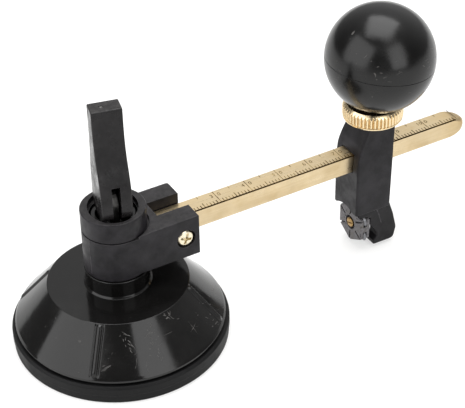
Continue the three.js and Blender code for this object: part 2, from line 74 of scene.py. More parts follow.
TURRET_Z, TURRET_FRONT, TURRET_BACK = 8.0, 76.3, 79.5
WHEEL_ORBIT, WHEEL_RADIUS = 5.1, 1.8
SCALE_ZERO = 1.35  # where the bar's scale would read zero

# -------------------- outlines


def fillet(points, radius, steps=5, closed=True):
    """Rounds the corners of a 2D polyline. radius is one number, or one number for each point."""
    count = len(points)
    radii = radius if isinstance(radius, (list, tuple)) else [radius] * count
    result = []
    for i, (x, y) in enumerate(points):
        corner = Vector((x, y))
        at_end = not closed and i in (0, count - 1)
        to_previous = Vector(points[i - 1]) - corner
        to_next = Vector(points[(i + 1) % count]) - corner
        if at_end or radii[i] <= 0 or to_previous.length < 1e-6 or to_next.length < 1e-6:
            result.append((x, y))
            continue
        angle = to_previous.angle(to_next)
        if angle > math.radians(176):
            result.append((x, y))
            continue
        reach = min(radii[i] / math.tan(angle / 2), to_previous.length * 0.48, to_next.length * 0.48)
        start = corner + to_previous.normalized() * reach
        end = corner + to_next.normalized() * reach
        for k in range(steps + 1):
            t = k / steps
            p = start * (1 - t) ** 2 + corner * 2 * t * (1 - t) + end * t ** 2
            result.append((p.x, p.y))
    return result


def polygon(count, radius, first=0.0):
    angles = [first + 2 * math.pi * i / count for i in range(count)]
    return [(radius * math.cos(a), radius * math.sin(a)) for a in angles]


def arc(cx, cy, radius, start, end, steps):
    angles = [math.radians(start + (end - start) * i / steps) for i in range(steps + 1)]
    return [(cx + radius * math.cos(a), cy + radius * math.sin(a)) for a in angles]


def smooth_step(low, high, value):
    t = min(1.0, max(0.0, (value - low) / (high - low)))
    return t * t * (3 - 2 * t)


# -------------------- meshes


def add_object(name, data):
    obj = bpy.data.objects.new(name, data)
    bpy.context.scene.collection.objects.link(obj)
    return obj


def new_object(name, vertices, faces):
    mesh = bpy.data.meshes.new(name)
    mesh.from_pydata([tuple(v) for v in vertices], [], faces)
    mesh.validate()
    return add_object(name, mesh)


def tidy_mesh(obj):
    bm = bmesh.new()
    bm.from_mesh(obj.data)
    bmesh.ops.remove_doubles(bm, verts=bm.verts, dist=1e-4)
    bmesh.ops.recalc_face_normals(bm, faces=bm.faces)
    bm.to_mesh(obj.data)
    bm.free()
    return obj


def faces_between(rings):
    """The faces between each ring of vertex numbers and the next. A ring can be one point, repeated."""
    faces = []
    for low, high in zip(rings, rings[1:]):
        for i in range(len(low)):
            j = (i + 1) % len(low)
            corners = list(dict.fromkeys([low[i], low[j], high[j], high[i]]))
            if len(corners) > 2:
                faces.append(corners)
    return faces


def equal_rings(vertices, count):
    return [range(start, start + count) for start in range(0, len(vertices), count)]


def skin(name, vertices, count):
    """Joins rings of count vertices in order, and closes the first and the last."""
    rings = equal_rings(vertices, count)
    faces = [list(rings[0])[::-1], list(rings[-1])] + faces_between(rings)
    return tidy_mesh(new_object(name, vertices, faces))


def loop_skin(name, vertices, count):
    """Joins rings of count vertices in order, and the last to the first."""
    rings = equal_rings(vertices, count)
    return tidy_mesh(new_object(name, vertices, faces_between(rings + rings[:1])))


def lathe(name, profile, segments=128):
    """A solid of revolution about Z, from a closed outline of (radius, height) points."""
    rings = []
    vertices = []
    for radius, height in profile:
        if radius < 1e-6:
            rings.append([len(vertices)] * segments)
            vertices.append((0, 0, height))
            continue
        rings.append(range(len(vertices), len(vertices) + segments))
        vertices += [(x, y, height) for x, y in polygon(segments, radius)]
    return tidy_mesh(new_object(name, vertices, faces_between(rings + rings[:1])))


# Where an outline's (u, v) and a height w go, for a prism along each axis.
PLACE = {
    "Z": lambda u, v, w: (u, v, w),
    "Y": lambda u, v, w: (u, w, v),
    "X": lambda u, v, w: (w, u, v),
}


def prism(name, outline, low, high, axis="Z"):
    """A straight prism. The outline lies in XY for Z, in XZ for Y and in YZ for X."""
    return skin(name, [PLACE[axis](u, v, w) for w in (low, high) for u, v in outline], len(outline))


def slab(name, outline, low, high, edge, axis="Z", steps=4):
    """A prism whose two end faces have rounded rims of radius edge, smaller than the outline's own corners."""
    count = len(outline)
    points = [Vector(point) for point in outline]
    area = sum(points[i - 1].cross(points[i]) for i in range(count))
    inward = []
    for i in range(count):
        before = (points[i] - points[i - 1]).normalized()
        after = (points[(i + 1) % count] - points[i]).normalized()
        first = Vector((-before.y, before.x))
        second = Vector((-after.y, after.x))
        inward.append((first + second) / max(0.5, 1 + first.dot(second)) * (1 if area > 0 else -1))
    levels = []
    for k in range(steps + 1):
        angle = math.pi / 2 * k / steps
        levels.append((edge * (1 - math.cos(angle)), edge * (1 - math.sin(angle))))
    rims = [(low + rise, inset) for rise, inset in levels]
    rims += [(high - rise, inset) for rise, inset in reversed(levels)]
    vertices = []
    for height, inset in rims:
        vertices += [PLACE[axis](*(points[i] + inward[i] * inset), height) for i in range(count)]
    return skin(name, vertices, count)


def between(line, position):
    """The value at a position on a line of (position, value) points."""
    for (p0, v0), (p1, v1) in zip(line, line[1:]):
        if position <= p1:
            return v0 + (v1 - v0) * (position - p0) / (p1 - p0)
    return line[-1][1]


def block(name, low, high):
    outline = [(low[0], low[1]), (high[0], low[1]), (high[0], high[1]), (low[0], high[1])]
    return prism(name, outline, low[2], high[2])


def rod(name, radius, low, high, axis="Z", centre=(0, 0), segments=48):
    outline = [(centre[0] + x, centre[1] + y) for x, y in polygon(segments, radius)]
    return prism(name, outline, low, high, axis)


def evaluated_mesh(obj):
    graph = bpy.context.evaluated_depsgraph_get()
    return bpy.data.meshes.new_from_object(obj.evaluated_get(graph))


def modify(obj, kind, **settings):
    """Adds a modifier with its settings and applies it."""
    modifier = obj.modifiers.new("step", kind)
    for key, value in settings.items():
        setattr(modifier, key, value)
    mesh = evaluated_mesh(obj)
    old = obj.data
    obj.modifiers.clear()
    obj.data = mesh
    bpy.data.meshes.remove(old)
    return obj


def combine(obj, others, operation):
    for other in others:
        modify(obj, "BOOLEAN", operation=operation, object=other, solver="EXACT")
        bpy.data.objects.remove(other)
    return tidy_mesh(obj)


def cut(obj, *others):
    return combine(obj, others, "DIFFERENCE")


def join(obj, *others):
    return combine(obj, others, "UNION")


def ease(obj, width, segments=3, angle=30):
    """Rounds every edge sharper than angle."""
    tidy_mesh(obj)
    return modify(obj, "BEVEL", width=width, segments=segments, limit_method="ANGLE",
                  angle_limit=math.radians(angle), use_clamp_overlap=True, miter_outer="MITER_ARC")


def shade(obj, angle=32):
    """Smooth shading, with a hard edge wherever the surface turns by more than angle."""
    bm = bmesh.new()
    bm.from_mesh(obj.data)
    for face in bm.faces:
        face.smooth = True
    for edge in bm.edges:
        edge.smooth = len(edge.link_faces) == 2 and edge.calc_face_angle(0) < math.radians(angle)
    bm.to_mesh(obj.data)
    bm.free()
    return modify(obj, "WEIGHTED_NORMAL", keep_sharp=True, weight=80)


def deliver(obj, material, body, replaces=(), angle=32, placement=None):
    """Finishes a piece: shading, millimetres to metres, material, body and the CAD nodes that it stands for."""
    shade(obj, angle)
    if placement is not None:
        obj.data.transform(placement)
    obj.data.transform(Matrix.Scale(MM, 4))
    obj.data.materials.clear()
    obj.data.materials.append(material)
    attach(obj, body)
    if replaces:
        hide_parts(*replaces)
    return obj


def rotation(degrees, axis):
    return Matrix.Rotation(math.radians(degrees), 4, axis)


LEANING = Matrix.Translation((STUD_X, 0, LEAN_PIVOT_Z)) @ rotation(LEAN, "Y")
LEVER_TURN = rotation(90 + LEVER_AZIMUTH, "Z")

# -------------------- material nodes


class Graph:
    """A short way to write a material's nodes. Coordinates are the piece's own, in metres."""

    def __init__(self, name):
        self.material = bpy.data.materials.new(name)
        self.material.use_nodes = True
        self.tree = self.material.node_tree
        self.surface = self.tree.nodes["Principled BSDF"]
        coordinates = self.node("TexCoord")
        self.place = coordinates.outputs["Object"]
        self.facing = coordinates.outputs["Normal"]

    def node(self, kind, **inputs):
        node = self.tree.nodes.new("ShaderNode" + kind)
        for key, value in inputs.items():
            self.feed(node.inputs[key.replace("_", " ")], value)
        return node

    def feed(self, socket, value):
        if isinstance(value, bpy.types.NodeSocket):
            self.tree.links.new(value, socket)
        elif isinstance(value, tuple) and len(value) == 3 and socket.type == "RGBA":
            socket.default_value = (*value, 1)
        else:
            socket.default_value = value

    def set(self, **inputs):
        for key, value in inputs.items():
            self.feed(self.surface.inputs[key.replace("_", " ")], value)

    def scaled(self, x=1.0, y=1.0, z=1.0, turn=(0, 0, 0)):
        node = self.node("Mapping")
        self.tree.links.new(self.place, node.inputs["Vector"])
        node.inputs["Scale"].default_value = (x, y, z)
        node.inputs["Rotation"].default_value = turn
        return node.outputs["Vector"]

    def noise(self, scale, detail=3.0, roughness=0.55, vector=None, distortion=0.0):
        node = self.node("TexNoise", Scale=scale, Detail=detail, Roughness=roughness,
                         Distortion=distortion)
        self.tree.links.new(vector or self.place, node.inputs["Vector"])
        return node.outputs["Fac"]

    def cells(self, scale, vector=None):
        node = self.node("TexVoronoi", Scale=scale)
        self.tree.links.new(vector or self.place, node.inputs["Vector"])
        return node.outputs["Distance"]

    def ramp(self, value, low, high, first=0.0, last=1.0):
        node = self.node("MapRange", Value=value)
        node.interpolation_type = "SMOOTHSTEP"
        node.inputs["From Min"].default_value = low
        node.inputs["From Max"].default_value = high
        node.inputs["To Min"].default_value = first
        node.inputs["To Max"].default_value = last
        return node.outputs["Result"]

    def math(self, operation, a, b=0.0):
        node = self.node("Math")
        node.operation = operation
        self.feed(node.inputs[0], a)
        self.feed(node.inputs[1], b)
        return node.outputs["Value"]

    def times(self, a, b):
        return self.math("MULTIPLY", a, b)

    def mix(self, factor, a, b):
        node = self.node("Mix")
        node.data_type = "RGBA"
        self.feed(node.inputs["Factor"], factor)
        self.feed(node.inputs[6], a)
        self.feed(node.inputs[7], b)
        return node.outputs[2]

    def edges(self, radius):
        """1 along the piece's edges and 0 on its flats."""
        bevel = self.node("Bevel", Radius=radius)
        bevel.samples = 4
        normal = self.node("NewGeometry").outputs["Normal"]
        dot = self.node("VectorMath")
        dot.operation = "DOT_PRODUCT"
        self.tree.links.new(bevel.outputs["Normal"], dot.inputs[0])
        self.tree.links.new(normal, dot.inputs[1])
        return self.ramp(dot.outputs["Value"], 0.995, 0.9, 0.0, 1.0)

    def axis(self, letter, vector=None):
        node = self.node("SeparateXYZ")
        self.tree.links.new(vector or self.place, node.inputs["Vector"])
        return node.outputs[letter]

    def bump(self, *layers, rounding=0.0):
        """Each layer is (height, depth in metres). Rounding softens the piece's sharp edges."""
        normal = None
        if rounding:
            bevel = self.node("Bevel", Radius=rounding)
            bevel.samples = 6
            normal = bevel.outputs["Normal"]
        for height, depth in layers:
            node = self.node("Bump", Strength=1.0, Distance=depth, Height=height)
            if normal is not None:
                self.tree.links.new(normal, node.inputs["Normal"])
            normal = node.outputs["Normal"]
        self.tree.links.new(normal, self.surface.inputs["Normal"])


DUST_AND_TOP_LIGHT_COLOUR = (0.13, 0.125, 0.12)


def moulded_black(name, base=(0.0076, 0.0068, 0.0082), roughness=0.40, grain=0.000012):
    g = Graph(name)
    clouds = g.noise(150, 5, 0.65)
    dust = g.ramp(g.noise(2300, 2, 0.7), 0.69, 0.77)
    # Lighter edges: partly rubbed wear, partly a painted highlight along the piece's edges.
    rubbed_and_highlit_edges = g.times(g.edges(0.0003), g.ramp(g.noise(700, 3), 0.35, 0.65, 0.2, 1.0))
    light = tuple(c * 1.9 + 0.003 for c in base)
    dark = tuple(c * 0.65 for c in base)
    colour = g.mix(g.ramp(clouds, 0.3, 0.7), dark, light)
    # Upward-facing faces lighter: partly settled dust, partly painted light on the tops.
    upward = g.ramp(g.axis("Z", g.facing), 0.8, 0.96)
    settled_dust_and_top_light = g.times(upward, g.ramp(g.noise(700, 4, 0.7), 0.3, 0.7, 0.04, 0.18))
    colour = g.mix(g.math("MAXIMUM", g.times(dust, 0.22), settled_dust_and_top_light), colour, DUST_AND_TOP_LIGHT_COLOUR)
    # Mixes in the painted edge highlight, together with the rubbed wear.
    colour = g.mix(g.times(rubbed_and_highlit_edges, 0.45), colour, (0.10, 0.096, 0.10))
    gloss = g.math("ADD", g.ramp(g.noise(260, 4, 0.6), 0.34, 0.66, roughness - 0.12, roughness + 0.12),
                   g.times(dust, 0.2))
    g.set(Base_Color=colour, Roughness=gloss, IOR=1.29)
    g.bump((g.noise(1500, 3, 0.6), grain), (g.noise(170, 2), 0.00005), rounding=0.00016)
    return g.material


def glossy_black(name, scuffs=0.3, roughness=0.15, base=0.0042):
    g = Graph(name)
    hairs = None
    for index, turn in enumerate(((0.2, 0.4, 0.3), (1.1, -0.3, 1.9), (-0.7, 0.9, 2.7))):
        streak = g.noise(520, 1, 0.4, g.scaled(0.06, 1, 1, turn), 0.3 + index)
        line = g.ramp(streak, 0.735, 0.76)
        hairs = line if hairs is None else g.math("MAXIMUM", hairs, line)
    hairs = g.times(hairs, g.ramp(g.noise(60, 2), 0.42, 0.6))
    smear = g.ramp(g.noise(55, 5, 0.65), 0.4, 0.7)
    dust = g.ramp(g.noise(2500, 2, 0.7), 0.70, 0.78)
    dark = (base, base * 0.96, base * 0.93)
    colour = g.mix(smear, dark, tuple(c * 1.7 for c in dark))
    colour = g.mix(g.times(hairs, scuffs), colour, (0.10, 0.095, 0.09))
    colour = g.mix(g.times(dust, 0.25), colour, DUST_AND_TOP_LIGHT_COLOUR)
    gloss = g.math("ADD", g.ramp(smear, 0, 1, roughness - 0.03, roughness + 0.07), g.times(hairs, 0.3))
    g.set(Base_Color=colour, Roughness=gloss, IOR=1.4)
    g.bump((g.noise(130, 2), 0.00003), (hairs, -0.000004), (g.noise(900, 3), 0.000004), rounding=0.00012)
    return g.material


def soft_rubber(name):
    g = Graph(name)
    bloom = g.ramp(g.noise(75, 5, 0.7), 0.4, 0.75)
    dust = g.ramp(g.noise(1900, 3, 0.8), 0.64, 0.75)
    colour = g.mix(bloom, (0.0032, 0.0032, 0.0034), (0.0075, 0.0075, 0.0078))
    colour = g.mix(g.times(dust, 0.25), colour, (0.09, 0.088, 0.085))
    g.set(Base_Color=colour, Roughness=g.ramp(bloom, 0, 1, 0.5, 0.7), IOR=1.26)
    g.bump((g.noise(1300, 4, 0.7), 0.00002), (g.noise(110, 2), 0.00004))
    return g.material


def drawn_brass(name, bright=(0.75, 0.61, 0.39), worn=(0.50, 0.345, 0.145), roughness=0.3,
                along=(0.04, 1, 1), tip=False, stain=0.45, shaded_below=None):
    g = Graph(name)
    draw = g.noise(1500, 3, 0.6, g.scaled(*along))
    patches = g.ramp(g.noise(120, 5, 0.6), 0.42, 0.78)
    spots = g.ramp(g.noise(900, 3, 0.7), 0.66, 0.78)
    tarnish = g.times(patches, stain)
    if tip:
        towards_tip = g.ramp(g.axis("X"), 0.100, 0.1145)
        tarnish = g.math("MAXIMUM", tarnish, g.times(towards_tip, g.ramp(patches, 0, 1, 0.45, 0.95)))
    colour = g.mix(tarnish, bright, worn)
    colour = g.mix(g.times(g.ramp(draw, 0.35, 0.65), 0.16), colour, worn)
    colour = g.mix(g.times(spots, 0.3), colour, (0.20, 0.12, 0.05))
    # Below the top face the bar's sides are darker and duller: painted shade on the sides.
    if shaded_below is not None:
        side_shade = g.ramp(g.axis("Z"), shaded_below - 0.0001, shaded_below + 0.0001, 0.42, 0.0)
        side_shade = g.times(side_shade, g.ramp(g.noise(90, 4, 0.6), 0.3, 0.7, 0.45, 1.0))
        colour = g.mix(side_shade, colour, (0.38, 0.30, 0.19))
    gloss = g.math("ADD", g.ramp(draw, 0.3, 0.7, roughness - 0.05, roughness + 0.07),
                   g.times(tarnish, 0.18))
    g.set(Base_Color=colour, Metallic=1.0, Roughness=gloss)
    g.bump((draw, 0.000012), (g.noise(260, 3), 0.00002), (g.noise(1400, 3, 0.7), 0.00001), rounding=0.0001)
    return g.material


def turned_steel(name, colour=(0.50, 0.50, 0.51), roughness=0.28):
    g = Graph(name)
    lines = g.noise(2400, 2, 0.5, g.scaled(1, 0.1, 0.1))
    film = g.ramp(g.noise(300, 4, 0.65), 0.4, 0.75)
    dark = tuple(c * 0.55 for c in colour)
    g.set(Base_Color=g.mix(g.times(film, 0.6), colour, dark), Metallic=1.0,
          Roughness=g.ramp(lines, 0.3, 0.7, roughness - 0.06, roughness + 0.12))
    g.bump((lines, 0.000006))
    return g.material


def pitted_casting(name):
    g = Graph(name)
    pits = g.ramp(g.cells(950), 0.20, 0.34, 1.0, 0.0)
    pits = g.times(pits, g.ramp(g.noise(420, 2), 0.48, 0.56))
    texture = g.noise(1500, 4, 0.7)
    grime = g.ramp(g.noise(380, 4, 0.65), 0.46, 0.72)
    colour = g.mix(g.ramp(texture, 0.3, 0.7), (0.085, 0.081, 0.084), (0.18, 0.172, 0.18))
    colour = g.mix(g.times(grime, 0.6), colour, (0.10, 0.09, 0.075))
    colour = g.mix(pits, colour, (0.02, 0.018, 0.018))
    g.set(Base_Color=colour, Metallic=0.55, Roughness=g.ramp(texture, 0.3, 0.7, 0.42, 0.62))
    g.bump((texture, 0.00005), (pits, -0.00015), rounding=0.00015)
    return g.material


def scale_ink(name, dark, worn, low=0.36, high=0.62):
    g = Graph(name)
    fade = g.ramp(g.noise(420, 4, 0.7), low, high)
    g.set(Base_Color=g.mix(fade, dark, worn), Roughness=0.7, IOR=1.08)
    g.bump((g.noise(2500, 2), 0.000008))
    return g.material


def scuff_mark(name):
    g = Graph(name)
    grain = g.noise(2600, 3, 0.7)
    g.set(Base_Color=g.mix(g.ramp(grain, 0.35, 0.65), (0.012, 0.0115, 0.011), (0.10, 0.096, 0.09)),
          Roughness=0.5)
    g.bump((grain, 0.00002))
    return g.material


def pale_floor(name):
    g = Graph(name)
    colour = g.mix(g.ramp(g.noise(9, 4), 0.3, 0.7), (0.44, 0.44, 0.437), (0.46, 0.46, 0.457))
    g.set(Base_Color=colour, Roughness=0.8, Emission_Color=(1.0, 1.0, 0.995), Emission_Strength=0.56)
    g.bump((g.noise(400, 3), 0.00002))
    return g.material


BLACK = moulded_black("moulded_black_plastic")
HEAD_BLACK = moulded_black("head_black_plastic", (0.0076, 0.0068, 0.0083), 0.42)
# A darker copy of the head's black for the finger rest: painted shade under the head's overhang.
REST_SHADED_BLACK = moulded_black("finger_rest_shaded_black_plastic", (0.0042, 0.0037, 0.0045), 0.46)
LEVER_BLACK = moulded_black("lever_black_plastic", (0.0078, 0.0071, 0.0074), 0.30)
GLOSS = glossy_black("glossy_black_plastic", 0.35, 0.14)
BALL_GLOSS = glossy_black("glossy_black_ball", 0.7, 0.22, 0.003)
RUBBER = soft_rubber("black_rubber")
# The bar's sides below its top face carry painted shade.
BAR_BRASS = drawn_brass("drawn_brass", tip=True, shaded_below=0.03405)
NUT_BRASS = drawn_brass("turned_brass", (0.80, 0.65, 0.42), (0.50, 0.34, 0.13), 0.2, (1, 1, 0.1), stain=0.3)
SCREW_BRASS = drawn_brass("screw_brass", (0.80, 0.73, 0.56), (0.55, 0.40, 0.20), 0.22, (1, 0.1, 1), stain=0.35)
DARK_BRASS = drawn_brass("dull_brass", (0.42, 0.28, 0.12), (0.17, 0.10, 0.04), 0.36, (0.1, 1, 1), stain=0.6)
STEEL = turned_steel("turned_steel")
WHEEL_STEEL = turned_steel("hard_wheel_steel", (0.20, 0.20, 0.21), 0.35)
BLACK_STEEL = turned_steel("dark_steel", (0.085, 0.083, 0.08), 0.36)
CASTING = pitted_casting("zinc_casting")
INK = scale_ink("scale_ink", (0.060, 0.036, 0.010), (0.36, 0.26, 0.12), 0.42, 0.68)
EDGE_INK = scale_ink("edge_ink", (0.024, 0.012, 0.003), (0.09, 0.055, 0.02), 0.5, 0.75)
SCUFF = scuff_mark("scuff")
# A lighter black for the thin mould-line ridges: a painted highlight along them.
MOULD_LINE_HIGHLIGHT = moulded_black("mould_line_highlight_black", (0.030, 0.028, 0.031), 0.35)

# -------------------- suction base


def cone_height(radius):
    t = (radius - CONE_TOP[0]) / (CONE_FOOT[0] - CONE_TOP[0])
    return CONE_TOP[1] + t * (CONE_FOOT[1] - CONE_TOP[1])


def make_pad():
    profile = fillet(
        [(29.6, 0.0), (30.0, 0.45), (30.05, 2.6), (PAD_RADIUS, 2.8), (30.22, 5.0), (29.65, 5.6), (26.4, 5.6),
         (25.8, 3.4), (8.2, 3.4), (7.9, 12.4), (3.5, 12.4), (3.5, POCKET_TOP), (6.2, POCKET_TOP), (6.2, 4.7)],
        [0.25, 0.2, 0.1, 0.1, 0.5, 0.3, 0.4, 0.8, 0.5, 0.4, 0.3, 0.1, 0.1, 0.1], 4, closed=False)
    # Fine sealing rings on the underside.
    under = []
    radius = 29.2
    while radius > 21.5:
        under += [(radius, 0.0), (radius - 0.2, 0.16), (radius - 0.5, 0.16), (radius - 0.7, 0.0)]
        radius -= 1.9
    under += [(20.0, 0.0), (18.5, 0.15), (4.0, 0.4), (0.0, 0.42)]
    outline = [(0.0, 4.7)] + under[::-1] + profile
    pad = lathe("suction_pad_rubber", outline, 144)
    deliver(pad, RUBBER, "base", ["suction_pad"])


def rib_section(offset):
    """Height above the cone at a sideways distance from a rib's middle: a rounded ridge with a groove each side."""
    s = abs(offset)
    ridge = 0.42 * (1 - smooth_step(0.32, 0.72, s))
    groove = -0.20 * smooth_step(0.62, 0.85, s) * (1 - smooth_step(1.05, 1.35, s))
    return ridge + groove


def make_housing():
    """The cone cover as one clean grid, whose columns follow the ribs down the cone."""
    offsets = [-1.6, -1.38, -1.22, -1.06, -0.92, -0.78, -0.66, -0.54, -0.4, -0.2, 0.0]
    offsets += [-value for value in offsets[-2::-1]]
    columns = []
    for rib in range(4):
        columns += [(rib, offset, None) for offset in offsets]
        columns += [(rib, offsets[-1], k / 26) for k in range(1, 26)]

    def column_angle(column, radius):
        rib, offset, share = column
        start = math.radians(RIB_ANGLES[rib]) + offset / radius
        if share is None:
            return start
        end = math.radians(RIB_ANGLES[0] + 90 * (rib + 1)) + offsets[0] / radius
        return start + share * (end - start)

    outer = fillet([(27.5, 6.15), (29.15, 6.15), (RIM_RADIUS, 7.0), CONE_FOOT], [0.2, 0.3, 0.18, 0], 4, closed=False)
    cone = [28.72, 28.5, 28.2, 27.9, 27.6] + [26.8 - k * 1.05 for k in range(6)] + [20.9, 20.5, 20.2, 19.95, 19.7]
    cone_points = [(radius, cone_height(radius)) for radius in cone]
    plateau = fillet([cone_points[-1], CONE_TOP, (9.4, CONE_TOP[1]), (NECK_RADIUS, 19.0), (NECK_RADIUS, 23.3),
                      (9.05, 23.5), (9.05, 23.8), (8.7, 23.95), (SPIGOT_RADIUS, 23.95), (SPIGOT_RADIUS, 41.0),
                      (4.8, 41.0)],
                     [0, 0.25, 0.2, 0.25, 0.1, 0.1, 0.1, 0.1, 0.1, 0.3, 0.3], 5, closed=False)[1:]
    inner = [(4.8, 34.0), (2.8, 34.0), (2.8, 30.0), (4.8, 30.0), (4.8, 16.3), (18.5, 16.3), (27.3, 7.0)]
    profile = outer + cone_points + plateau + inner
    first_cone = len(outer)
    last_cone = first_cone + len(cone_points)
    length = math.hypot(CONE_FOOT[0] - CONE_TOP[0], CONE_TOP[1] - CONE_FOOT[1])
    normal = ((CONE_TOP[1] - CONE_FOOT[1]) / length, (CONE_FOOT[0] - CONE_TOP[0]) / length)
    vertices = []
    for index, (radius, height) in enumerate(profile):
        on_cone = first_cone <= index < last_cone
        line_radius = min(max(radius, CONE_TOP[0]), CONE_FOOT[0])
        for column in columns:
            angle = column_angle(column, line_radius)
            lift = 0.0
            if on_cone and column[2] is None:
                lift = rib_section(column[1]) * smooth_step(28.75, 28.1, radius) * smooth_step(19.6, 20.1, radius)
            r = radius + lift * normal[0]
            vertices.append((r * math.cos(angle), r * math.sin(angle), height + lift * normal[1]))
    housing = loop_skin("cone_cover", vertices, len(columns))
    deliver(housing, GLOSS, "base", ["base_housing"], angle=38)


def scuff_strip(points, width):
    """A thin raised scratch on the cone, along (azimuth, radius) points, narrower at both ends."""
    raised = 0.012
    vertices = []
    for k, (azimuth, radius) in enumerate(points):
        angle = math.radians(azimuth)
        share = k / (len(points) - 1)
        half = width * random.uniform(0.25, 0.7) * (0.2 + math.sin(math.pi * share)) / 2
        following = points[min(k + 1, len(points) - 1)]
        before = points[max(k - 1, 0)]
        along = Vector((following[1] - before[1], math.radians(following[0] - before[0]) * radius)).normalized()
        for side in (-half, half):
            r = radius - along.y * side
            a = angle + along.x * side / radius
            lifted = r + raised
            vertices.append((lifted * math.cos(a), lifted * math.sin(a), cone_height(r) + raised))
    faces = [[2 * k, 2 * k + 1, 2 * k + 3, 2 * k + 2] for k in range(len(points) - 1)]
    return vertices, faces


def wandering(start, end, sway, steps=7):
    """Points from start to end along a bow with a little jitter."""
    points = []
    for k in range(steps):
        t = k / (steps - 1)
        bend = sway * math.sin(math.pi * t) + random.uniform(-0.15, 0.15) * abs(sway)
        points.append((start[0] + (end[0] - start[0]) * t + bend, start[1] + (end[1] - start[1]) * t))
    return points


def scratches(azimuth, radius, az_spread, radius_spread, count, longest, widest):
    """Short marks in random directions around a place on the cone."""
    marks = []
    for _ in range(count):
        start = (azimuth + random.uniform(-az_spread, az_spread),
                 radius + random.uniform(-radius_spread, radius_spread))
        length = random.uniform(0.35, longest)
        heading = random.uniform(0, 2 * math.pi)
        reach = start[1] + length * math.sin(heading)
        end = (start[0] + math.degrees(length * math.cos(heading) / radius), min(28.2, max(19.75, reach)))
        marks.append((start, end, random.uniform(-0.5, 0.5) * length, widest * random.uniform(0.45, 1.0)))
    return marks


def make_scuffs():
    marks = [((-64.5, 23.4), (-64.0, 26.2), 0.2, 0.16), ((-67.5, 25.1), (-60.5, 24.6), 0.3, 0.14)]
    marks += scratches(-113.5, 21.4, 2.0, 0.9, 4, 2.0, 0.36)
    marks += scratches(-110.5, 23.4, 2.6, 1.3, 8, 1.5, 0.40)
    marks += scratches(-93.5, 23.6, 3.0, 2.8, 30, 0.9, 0.20)
    marks += scratches(-75.5, 20.3, 3.5, 0.45, 10, 1.2, 0.38)
    marks += scratches(-100, 24.5, 8.0, 2.5, 8, 2.2, 0.12)
    marks += scratches(-126, 25.0, 7.0, 2.0, 6, 1.2, 0.10)
    vertices = []
    faces = []
    for start, end, sway, width in marks:
        points, quads = scuff_strip(wandering(start, end, sway), width)
        faces += [[len(vertices) + i for i in quad] for quad in quads]
        vertices += points
    scuffs = new_object("cone_scuffs", vertices, faces)
    modify(scuffs, "SOLIDIFY", thickness=0.02)
    deliver(scuffs, SCUFF, "base")


def make_ring():
    outline = fillet([(6.4, RING_BOTTOM), (8.9, RING_BOTTOM), (8.9, RING_TOP), (6.4, RING_TOP)],
                     [0.05, 0.25, 0.4, 0.05], 5)
    ring = lathe("cap_ring", outline, 144)
    cutter = prism("mouth", [(7.75 * x, 6.75 * y) for x, y in polygon(96, 1.0)], 41.3, 44.0)
    cutter.data.transform(LEVER_TURN)
    cut(ring, cutter)
    ease(ring, 0.12, 2, 50)
    deliver(ring, BLACK, "base", ["hub_cap_ring"])


# -------------------- lever


def make_lever():
    heel_front = arc(-2.3, PIVOT_Z, 4.2, 180, 270, 10)
    heel_back = arc(1.3, PIVOT_Z, 4.2, 270, 360, 10)
    back = [(5.5, 49.6), (5.42, 51.6), (5.1, 54.2), (4.55, 57.0), (3.95, 60.0), (3.55, 62.8), (3.4, 66.0)]
    top = fillet([(3.4, 66.1), (3.35, 73.75), (-1.75, 73.75), (-1.78, 68.5)], [0, 0.6, 0.7, 0], 5, closed=False)
    front = [(-1.78, 68.5), (-1.95, 65.0), (-2.35, 62.4), (-3.0, 60.1), (-3.85, 57.8), (-4.7, 55.8),
             (-5.5, 53.8), (-6.1, 51.8), (-6.4, 49.6), (-6.5, 47.5)]
    lever = slab("lever", heel_front + heel_back + back + top[1:-1] + front, -4.15, 4.15, 0.32, "Y")
    slot = block("slot", (-9, -1.15, 38), (4.3, 1.15, 52.6))
    pin_way = rod("pin_way", 1.5, -6, 6, "Y", (0, PIVOT_Z), 40)
    gate = rod("gate", 0.6, 73.45, 75, "Z", (0.7, 0.9), 24)
    cut(lever, slot, pin_way, gate)
    deliver(lever, LEVER_BLACK, "lever", ["cam_lever"], placement=LEVER_TURN)
    mark = lathe("gate_mark", fillet([(0.0, 73.4), (0.52, 73.4), (0.42, 73.66), (0.0, 73.72)], 0.05, 3, False), 24)
    mark.data.transform(Matrix.Translation((0.7, 0.9, 0)))
    deliver(mark, SCUFF, "lever", placement=LEVER_TURN)


# -------------------- swivel arm


def make_bracket():
    half = EAR_HALF
    corners = fillet([(0, -8.95), (3.0, -half + 0.03), (EAR_END, -half), (EAR_END, half), (3.0, half - 0.03),
                      (0, 8.95)], [0, 0, 0.5, 0.9, 0, 0], 6, closed=False)
    outline = arc(0, 0, 8.9, 100, 260, 96) + corners[1:-1]
    bracket = slab("bracket", outline, 25.0, 37.45, 0.28)
    collar = slab("collar", polygon(192, 8.88), COLLAR_BOTTOM, 26.5, 0.3)
    join(bracket, collar)
    recess = rod("recess", 9.45, COLLAR_TOP, 39, segments=144)
    slot = block("slot", (11.3, -3.15, 28.15), (24, 3.15, 39.5))
    bore = rod("bore", 6.4, 23, 40, segments=96)
    screw_way = rod("screw_way", 1.8, -12, 12, "Y", (SCREW_X, SCREW_Z))
    counterbore = rod("counterbore", 2.78, -12, -7.6, "Y", (SCREW_X, SCREW_Z), 64)
    nut_pocket = prism("nut_pocket", [(SCREW_X + x, SCREW_Z + z) for x, z in polygon(6, 3.52)], 6.5, 12, "Y")
    cut(bracket, recess, slot, bore, screw_way, counterbore, nut_pocket)
    deliver(bracket, BLACK, "arm", ["arm_bracket"])
    # A thin mould-line ridge down the collar, lighter as a painted highlight.
    strip = fillet([(8.7, -0.11), (8.97, -0.11), (8.97, 0.11), (8.7, 0.11)], 0.06, 2)
    seam = slab("collar_mould_line_highlight", strip, 25.2, 36.3, 0.05)
    seam.data.transform(rotation(-164, "Z"))
    deliver(seam, MOULD_LINE_HIGHLIGHT, "arm")


